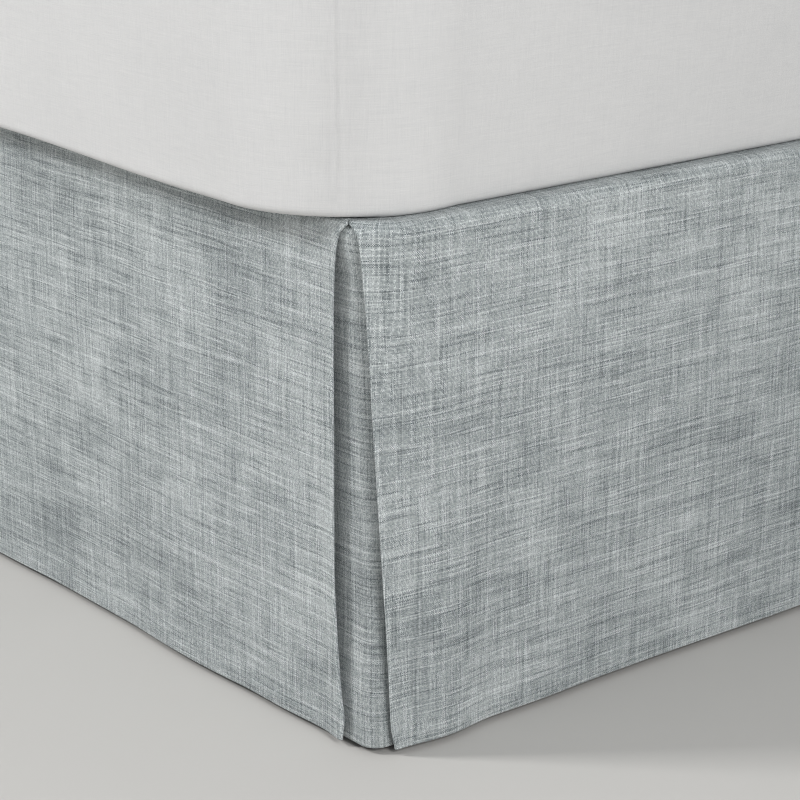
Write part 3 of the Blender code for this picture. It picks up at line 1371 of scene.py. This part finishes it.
    def underlay(self, side: Side, material: Material) -> None:
        """Makes the strip behind a split corner, a quarter column that tightens downwards.

        Args:
            side: The corner's side of the bed.
            material: Its cloth.
        """
        shape = self.shape
        middle = self.underlay_inset + shape.cloth / 2
        straight, arc, roll_steps = self.underlay_steps
        stations = [(Stretch.FOOT, step / straight) for step in range(straight)]
        stations += [(Stretch.ARC, step / arc) for step in range(arc + 1)]
        stations += [(Stretch.SIDE, step / straight) for step in range(1, straight + 1)]
        rows = layer_rows(shape, (self.underlay_rows,), roll_steps)

        def surface(column: int, row: int) -> ClothPoint:
            """A point of the sheet.

            Args:
                column: Its column.
                row: Its row.

            Returns:
                Its place in the world and on the flat cloth.
            """
            place = row_place(shape, rows[row], middle, shape.return_turn_in)
            x, y, run = self.underlay_point(*stations[column], place)
            x = side.value * (shape.half_width + x)
            return Vector((x, shape.foot_y + y, shape.top - place.below)), (run, place.run)

        names = ("corner_underlay_cloth" + side.suffix, "corner_underlay" + side.suffix)
        self.hang(names, (0.215, 0.390), (len(stations), len(rows)), surface, material)

    def platform(self, material: Material) -> None:
        """Makes the sheet under the mattress, with its faint ripples.

        Args:
            material: Its cloth.
        """
        shape = self.shape
        low, high = (Vector(corner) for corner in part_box("platform"))
        columns, rows = self.platform_points
        corner = shape.corner_radius - shape.turn_in - shape.seam_gap
        level = (low.z + high.z) / 2

        def surface(column: int, row: int) -> ClothPoint:
            """A point of the sheet.

            Args:
                column: Its column.
                row: Its row.

            Returns:
                Its place in the world and on the flat cloth.
            """
            x = low.x + (high.x - low.x) * column / (columns - 1)
            y = high.y - (high.y - low.y) * row / (rows - 1)
            near_x = max(abs(x) - (high.x - corner), 0.0)
            near_y = max(low.y + corner - y, y - (high.y - corner), 0.0)
            away = math.hypot(near_x, near_y)
            if away > corner:
                pull = corner / away
                x = math.copysign(high.x - corner + near_x * pull, x)
                edge = high.y - corner if y > 0.0 else low.y + corner
                y = math.copysign(1.0, y) * near_y * pull + edge
            ripple = waves((x, y, 0.0), self.platform_waves, self.platform_seed)
            return Vector((x, y, level + ripple * self.platform_ripple)), (x, y)

        piece = cloth_grid("platform_cloth", (columns, rows), surface, material, shape.cloth)
        dress(piece, "platform")


# ---- base and mattress


@dataclass(frozen=True)
class BoxPlace:
    """A place on a rounded box: which way is outwards in plan, and how high it is."""

    outward: Vector
    height: float
    corner_angle: float

    @property
    def on_corner(self) -> bool:
        """Whether the place is on a round corner."""
        return 0.0 < self.corner_angle < QUARTER_TURN


@dataclass
class SoftBox:
    """A padded box with round corners and edges, whose points crowd towards its edges."""

    name: str
    node: str
    slot: str
    fill: float
    corner: float
    top_edge: float
    bottom_edge: float
    cuts: tuple[int, int, int]
    crowding: float = 0.8
    side_map_gap: float = 3.0

    def __post_init__(self) -> None:
        """Reads the box's place from its node."""
        self.low, self.high = (Vector(corner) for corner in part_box(self.node))
        self.height = self.high.z - self.low.z

    def shift(self, point: Vector, place: BoxPlace) -> Vector:
        """Moves a point of the plain rounded box to the padded one's surface.

        Args:
            point: The point.
            place: Where on the box it is.

        Returns:
            Its final place.
        """
        raise NotImplementedError

    def spread(self, unit: float) -> float:
        """Moves an even coordinate from -1 to 1 towards the ends."""
        return unit * (1.0 + self.crowding * (0.5 - 0.5 * unit * unit))

    def past_seam(self, place: BoxPlace) -> float:
        """How far round its corner a place is from the corner's middle."""
        return (place.corner_angle - EIGHTH_TURN) * self.corner

    def ring_place(
        self, along: float, half: float, ring_half: float, rim: float, radius: float
    ) -> tuple[float, float]:
        """A point on one quarter of a rounded ring.

        Args:
            along: The point's coordinate along the straight box's side, at least 0.
            half: Half the straight box's side.
            ring_half: Half the ring's side.
            rim: How far inside the straight box's outline the point lay.
            radius: The ring's corner radius.

        Returns:
            The coordinate along the ring's side, and the angle past the tangent.
        """
        near = half - rim - along
        if near < radius:
            return ring_half - radius, EIGHTH_TURN * (1.0 - near / radius)
        straight = half - rim - radius
        return (ring_half - radius) * along / straight, 0.0

    def place(self, unit: Vector) -> tuple[Vector, BoxPlace]:
        """Rounds a point of the unit cube's surface.

        Args:
            unit: The point, with each part from -1 to 1.

        Returns:
            The point in the world, and where on the box it is.
        """
        half = (self.high - self.low) / 2
        middle = (self.high + self.low) / 2
        x, y, z = (abs(self.spread(unit[i])) * half[i] for i in range(3))
        edge = self.top_edge if unit.z > 0.0 else self.bottom_edge
        rim = max(min(half.x - x, half.y - y), 0.0)
        level = half.z - z
        if rim < ON_FACE and level < edge:
            turn = EIGHTH_TURN * (1.0 - level / edge)
        elif level < ON_FACE and rim < edge:
            turn = EIGHTH_TURN * (1.0 + rim / edge)
        else:
            turn = 0.0
        inset = edge * (1.0 - math.cos(turn)) if turn else rim
        drop = edge * (1.0 - math.sin(turn)) if turn else level
        radius = max(self.corner - inset, LEAST_RADIUS)
        on_x = half.x - x <= half.y - y
        straight, side = (y, half.y) if on_x else (x, half.x)
        along, angle = self.ring_place(straight, side, side - inset, rim, radius)
        heading = angle if on_x else QUARTER_TURN - angle
        if angle > 0.0 or along >= side - inset - radius:
            px = half.x - inset - radius + radius * math.cos(heading)
            py = half.y - inset - radius + radius * math.sin(heading)
        elif on_x:
            px, py = half.x - inset, along
        else:
            px, py = along, half.y - inset
        signs = [math.copysign(1.0, unit[i]) for i in range(3)]
        point = Vector((signs[0] * px, signs[1] * py, signs[2] * (half.z - drop))) + middle
        outward = Vector((signs[0] * math.cos(heading), signs[1] * math.sin(heading), 0.0))
        return point, BoxPlace(outward, point.z - self.low.z, heading)

    def mesh(self) -> BMesh:
        """Builds the padded mesh, with its map in metres.

        Returns:
            The bmesh.
        """
        made = bmesh.new()
        bmesh.ops.create_cube(made, size=2.0)
        for axis, cuts in enumerate(self.cuts):
            others = [i for i in range(3) if i != axis]
            edges = []
            for edge in made.edges:
                run = edge.verts[0].co - edge.verts[1].co
                if all(abs(run[i]) < SAME_PLACE for i in others):
                    edges.append(edge)
            bmesh.ops.subdivide_edges(made, edges=edges, cuts=cuts, use_grid_fill=True)
        cloth_map = made.loops.layers.uv.new(CLOTH_MAP)
        plain = {vert: self.place(vert.co) for vert in made.verts}
        for face in made.faces:
            normal = face.normal.copy()
            for loop in face.loops:
                point, _ = plain[loop.vert]
                if abs(normal.z) > 0.5:
                    spot = (point.x, point.y)
                elif abs(normal.x) > 0.5:
                    spot = (math.copysign(1.0, normal.x) * point.y, point.z)
                else:
                    spot = (-math.copysign(1.0, normal.y) * point.x + self.side_map_gap, point.z)
                loop[cloth_map].uv = spot
        for vert, (point, place) in plain.items():
            vert.co = self.shift(point, place)
        bmesh.ops.recalc_face_normals(made, faces=made.faces)
        return made

    def build(self, materials: Sequence[Material]) -> Object:
        """Args:
            materials: Its materials, in slot order.

        Returns:
            The piece.
        """
        piece = place_object(self.name, self.mesh(), materials)
        dress(piece, self.node)
        return piece


@dataclass
class Mattress(SoftBox):
    """The mattress in its fitted sheet, with a sewn dart down each corner."""

    name: str = "mattress_in_sheet"
    node: str = "mattress"
    slot: str = "white_cover"
    fill: float = 0.9
    corner: float = 0.130
    top_edge: float = 0.030
    bottom_edge: float = 0.006
    cuts: tuple[int, int, int] = (120, 150, 64)
    crown: float = 0.005
    calm_rim: float = 0.020
    slow_wobble: float = 0.0016
    slow_waves: tuple[float, float, float] = (3.1, 3.1, 4.0)
    quick_wobble: float = 0.0006
    quick_waves: tuple[float, float, float] = (9.0, 9.0, 9.0)
    quick_seed: float = 7.0
    dart_depth: float = 0.0011
    dart_width: float = 0.0030
    dart_reach: float = 0.06
    dart_ends: tuple[float, float] = (0.03, 0.02)
    dart_past_top: float = 0.01
    pucker_depth: float = 0.0007
    pucker_least: float = -0.2
    pucker_waves: tuple[float, float, float] = (62.0, 0.4, 0.5)
    pucker_widths: tuple[float, float] = (0.009, 0.016)
    foot_lean: float = 0.010
    side_lean: float = 0.022
    corner_fill: float = 0.035
    foot_rise: float = 0.006
    rise_height: float = 0.06
    rise_at_ends: float = 0.17
    rise_from: tuple[float, float] = (0.58, 0.24)
    rise_depth: tuple[float, float] = (0.09, 0.06)

    def shift(self, point: Vector, place: BoxPlace) -> Vector:
        """Moves a point of the plain rounded box to the sheeted mattress.

        Args:
            point: The point.
            place: Where on the box it is.

        Returns:
            Its final place.
        """
        level = (point.z - self.low.z) / self.height
        wall = smoothstep(place.height / self.calm_rim)
        wall *= smoothstep((self.height - place.height) / self.calm_rim)
        outward = place.outward
        slow = waves(point, self.slow_waves)
        quick = waves(point, self.quick_waves, self.quick_seed)
        push = (self.slow_wobble * slow + self.quick_wobble * quick) * wall
        lean = self.side_lean * abs(outward.x) + self.foot_lean * abs(outward.y)
        lean -= self.corner_fill * (abs(outward.x) + abs(outward.y) - 1.0)
        push -= lean * (1.0 - level)
        push -= self.dart(point, place)
        moved = point + outward * push
        if outward.y < -0.5:
            moved.z += self.rise(point, place)
        if level > 0.5:
            across = 1.0 - (point.x / self.high.x) ** 2
            along = 1.0 - (point.y / self.high.y) ** 2
            moved.z += self.crown * max(across, 0.0) * max(along, 0.0) * smoothstep(level * 2 - 1)
        return moved

    def rise(self, point: Vector, place: BoxPlace) -> float:
        """How far the foot's lower rim stands up, most of all at its middle.

        Args:
            point: A point of the plain box.
            place: Where on the box it is.

        Returns:
            The height that it gains.
        """
        rim, fade = self.rise_from
        depth, near_fade = self.rise_depth
        middle = smoothstep((rim - abs(point.x)) / fade)
        middle = self.rise_at_ends + (1.0 - self.rise_at_ends) * middle
        near = smoothstep((self.low.y + depth - point.y) / near_fade)
        low = 1.0 - smoothstep(place.height / self.rise_height)
        return self.foot_rise * middle * near * low

    def dart(self, point: Vector, place: BoxPlace) -> float:
        """How deep the corner's dart and its puckers draw the sheet in.

        Args:
            point: A point of the plain box.
            place: Where on the box it is.

        Returns:
            The depth.
        """
        away = self.past_seam(place)
        if abs(away) > self.dart_reach or not place.on_corner:
            return 0.0
        low_end, high_end = self.dart_ends
        reach = smoothstep(place.height / low_end)
        reach *= smoothstep((self.height + self.dart_past_top - place.height) / high_end)
        groove = self.dart_depth * math.exp(-((away / self.dart_width) ** 2))
        beat = max(waves((place.height, 1.0, point.x), self.pucker_waves), self.pucker_least)
        spread = self.pucker_widths[away > 0.0]
        pucker = self.pucker_depth * beat * math.exp(-abs(away) / spread)
        return (groove + pucker) * reach


@dataclass
class BoxBase(SoftBox):
    """The padded box base in its cover, with corner seams and a dust cloth beneath."""

    name: str = "box_base_cover"
    node: str = "box_base"
    slot: str = "base_cover"
    fill: float = 0.95
    corner: float = 0.0268
    top_edge: float = 0.022
    bottom_edge: float = 0.004
    cuts: tuple[int, int, int] = (70, 90, 26)
    crowding: float = 0.7
    bulge: float = 0.0010
    head_bulge: float = 0.0035
    wobble: float = 0.0003
    wobble_waves: tuple[float, float, float] = (7.0, 7.0, 9.0)
    seam_depth: float = 0.0008
    seam_width: float = 0.0018
    hem_line: float = 0.016
    hem_width: float = 0.003
    dust_cloth_edge: float = 0.0002

    def shift(self, point: Vector, place: BoxPlace) -> Vector:
        """Moves a point of the plain rounded box to the padded one's surface.

        Args:
            point: The point.
            place: Where on the box it is.

        Returns:
            Its final place.
        """
        mid = hump(place.height, self.height / 2, self.height / 2)
        push = (self.head_bulge if place.outward.y > 0.9 else self.bulge) * mid
        if place.on_corner:
            away = self.past_seam(place) / self.seam_width
            push -= self.seam_depth * math.exp(-(away**2)) * mid
        past_hem = (place.height - self.hem_line) / self.hem_width
        push -= self.seam_depth * math.exp(-(past_hem**2))
        uneven = waves(point, self.wobble_waves)
        return point + place.outward * (push + self.wobble * uneven * mid)

    def build(self, materials: Sequence[Material]) -> Object:
        """Makes the base, with its second material on the underside.

        Args:
            materials: The cover's and the dust cloth's.

        Returns:
            The piece.
        """
        piece = super().build(materials)
        for face in piece.data.polygons:
            if face.center.z < self.low.z + self.dust_cloth_edge:
                face.material_index = 1
        return piece


# ---- legs


@dataclass
class Legs:
    """The six turned legs, with their fixing plates and glides."""

    foot_radius: float = 0.019
    top_radius: float = 0.027
    end_round: float = 0.0018
    swell: float = 0.0006
    round_steps: int = 3
    wall_steps: int = 12
    spin_steps: int = 48
    sharp_angle: float = 50.0
    count: int = 6

    def profile(self, height: float) -> list[tuple[float, float]]:
        """The leg's outline.

        Args:
            height: The leg's height.

        Returns:
            Points as (radius, height), from axis to axis.
        """
        rounding = self.end_round
        foot, top = self.foot_radius, self.top_radius
        turns = [QUARTER_TURN * step / self.round_steps for step in range(self.round_steps + 1)]
        points = [(0.0, 0.0)]
        points += [
            (foot - rounding * (1 - math.sin(turn)), rounding * (1 - math.cos(turn)))
            for turn in turns
        ]
        for step in range(1, self.wall_steps):
            share = step / self.wall_steps
            radius = foot + (top - foot) * share + self.swell * math.sin(math.pi * share)
            points.append((radius, rounding + (height - 2 * rounding) * share))
        points += [
            (top - rounding * (1 - math.cos(turn)), height - rounding * (1 - math.sin(turn)))
            for turn in turns
        ]
        return points + [(0.0, height)]

    def leg(self, number: int, material: Material) -> None:
        """Turns one leg where its solid stands.

        Args:
            number: Which leg.
            material: The wood.
        """
        low, high = (Vector(corner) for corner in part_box(f"leg_{number}"))
        made = bmesh.new()
        verts = [made.verts.new((radius, 0.0, z)) for radius, z in self.profile(high.z - low.z)]
        edges = [made.edges.new(pair) for pair in zip(verts, verts[1:])]
        bmesh.ops.spin(
            made,
            geom=verts + edges,
            cent=(0, 0, 0),
            axis=(0, 0, 1),
            angle=2 * math.pi,
            steps=self.spin_steps,
            use_merge=True,
        )
        bmesh.ops.remove_doubles(made, verts=made.verts, dist=SAME_PLACE)
        bmesh.ops.recalc_face_normals(made, faces=made.faces)
        middle = (low + high) / 2
        bmesh.ops.translate(made, verts=made.verts, vec=(middle.x, middle.y, low.z))
        piece = place_object(f"turned_leg_{number}", made, [material])
        piece.data.set_sharp_from_angle(angle=math.radians(self.sharp_angle))
        dress(piece, f"leg_{number}")

    def build(self) -> None:
        """Makes the legs and dresses the plates and glides."""
        wood = WoodFinish().material()
        steel = PLATE_STEEL.material()
        plastic = GLIDE_PLASTIC.material()
        for number in range(1, self.count + 1):
            self.leg(number, wood)
            for node, material in ((f"leg_plate_{number}", steel), (f"glide_{number}", plastic)):
                for slot in bpy.data.objects[node].material_slots:
                    slot.material = material


# ---- stage


def aim(data: bpy.types.ID, place: Sequence[float], heading: Vector) -> Object:
    """Adds a lamp's or a camera's object.

    Args:
        data: The lamp or camera.
        place: Where it stands.
        heading: Which way it looks.

    Returns:
        The object.
    """
    holder = bpy.data.objects.new(data.name, data)
    holder.location = place
    holder.rotation_euler = heading.to_track_quat("-Z", "Y").to_euler()
    bpy.context.scene.collection.objects.link(holder)
    return holder


@dataclass(frozen=True)
class SoftLight:
    """A square area light that shines at a point."""

    name: str
    place: tuple[float, float, float]
    target: tuple[float, float, float]
    size: float
    power: float
    colour: Colour = (1.0, 1.0, 1.0)

    def build(self) -> None:
        """Adds the light."""
        data = bpy.data.lights.new(self.name, "AREA")
        data.shape = "SQUARE"
        data.size = self.size
        data.energy = self.power
        data.color = self.colour
        aim(data, self.place, Vector(self.target) - Vector(self.place))


@dataclass
class Studio:
    """The pale floor, the soft light and the camera."""

    shape: SkirtShape
    lights: tuple[SoftLight, ...] = (
        SoftLight("Key", (-1.2, -3.3, 2.2), (0.6, -0.9, 0.3), 0.6, 74.0),
        SoftLight("Fill", (2.7, -1.5, 1.3), (0.7, -0.7, 0.3), 0.7, 30.0),
        SoftLight("Rear", (-1.6, 4.6, 2.6), (0.0, 1.0, 0.3), 2.6, 130.0),
        SoftLight("Far side", (-4.6, 1.2, 2.4), (-0.7, 0.3, 0.3), 2.6, 90.0),
    )
    sky: float = 0.42
    sky_colour: Colour = (0.97, 0.985, 1.0)
    floor_half: float = 24.0
    floor_cells: int = 8
    camera_offset: tuple[float, float, float] = (1.195, -0.9579, 0.7628)
    azimuth: float = 50.65
    pitch: float = 17.85
    lens: float = 108.0

    def floor(self) -> None:
        """Adds the floor."""
        made = bmesh.new()
        cells = self.floor_cells
        bmesh.ops.create_grid(made, x_segments=cells, y_segments=cells, size=self.floor_half)
        ground = place_object("studio_floor", made, [FLOOR.material()])

    def world(self) -> None:
        """Adds the even light from all round."""
        world = bpy.data.worlds.new("Studio")
        world.use_nodes = True
        background = world.node_tree.nodes["Background"]
        background.inputs["Color"].default_value = (*self.sky_colour, 1.0)
        background.inputs["Strength"].default_value = self.sky
        bpy.context.scene.world = world

    def camera(self) -> None:
        """Adds the camera, which looks down on the right-hand foot corner."""
        data = bpy.data.cameras.new("Camera")
        data.lens = self.lens
        data.sensor_width = 36.0
        data.clip_start = 0.05
        corner = Vector((self.shape.half_width, self.shape.foot_y, 0.0))
        azimuth, pitch = math.radians(self.azimuth), math.radians(self.pitch)
        level = math.cos(pitch)
        heading = (-math.sin(azimuth) * level, math.cos(azimuth) * level, -math.sin(pitch))
        place = corner + Vector(self.camera_offset)
        bpy.context.scene.camera = aim(data, place, Vector(heading))

    def build(self) -> None:
        """Sets the stage."""
        self.floor()
        self.world()
        for light in self.lights:
            light.build()
        self.camera()
        scene = bpy.context.scene
        scene.view_settings.view_transform = "Standard"
        scene.cycles.filter_width = 1.0
        scene.cycles.denoising_prefilter = "NONE"


def main() -> None:
    """Builds every piece."""
    logging.basicConfig(level=logging.INFO, format="%(name)s: %(message)s")
    shape = SkirtShape.from_frame()
    BoxBase().build([BASE_COVER.material(), DUST_CLOTH.material()])
    BedSkirt(shape).build()
    Mattress().build([SHEET_COTTON.material()])
    Legs().build()
    Studio(shape).build()

    bpy.context.view_layer.update()


if __name__ == "__main__":
    main()
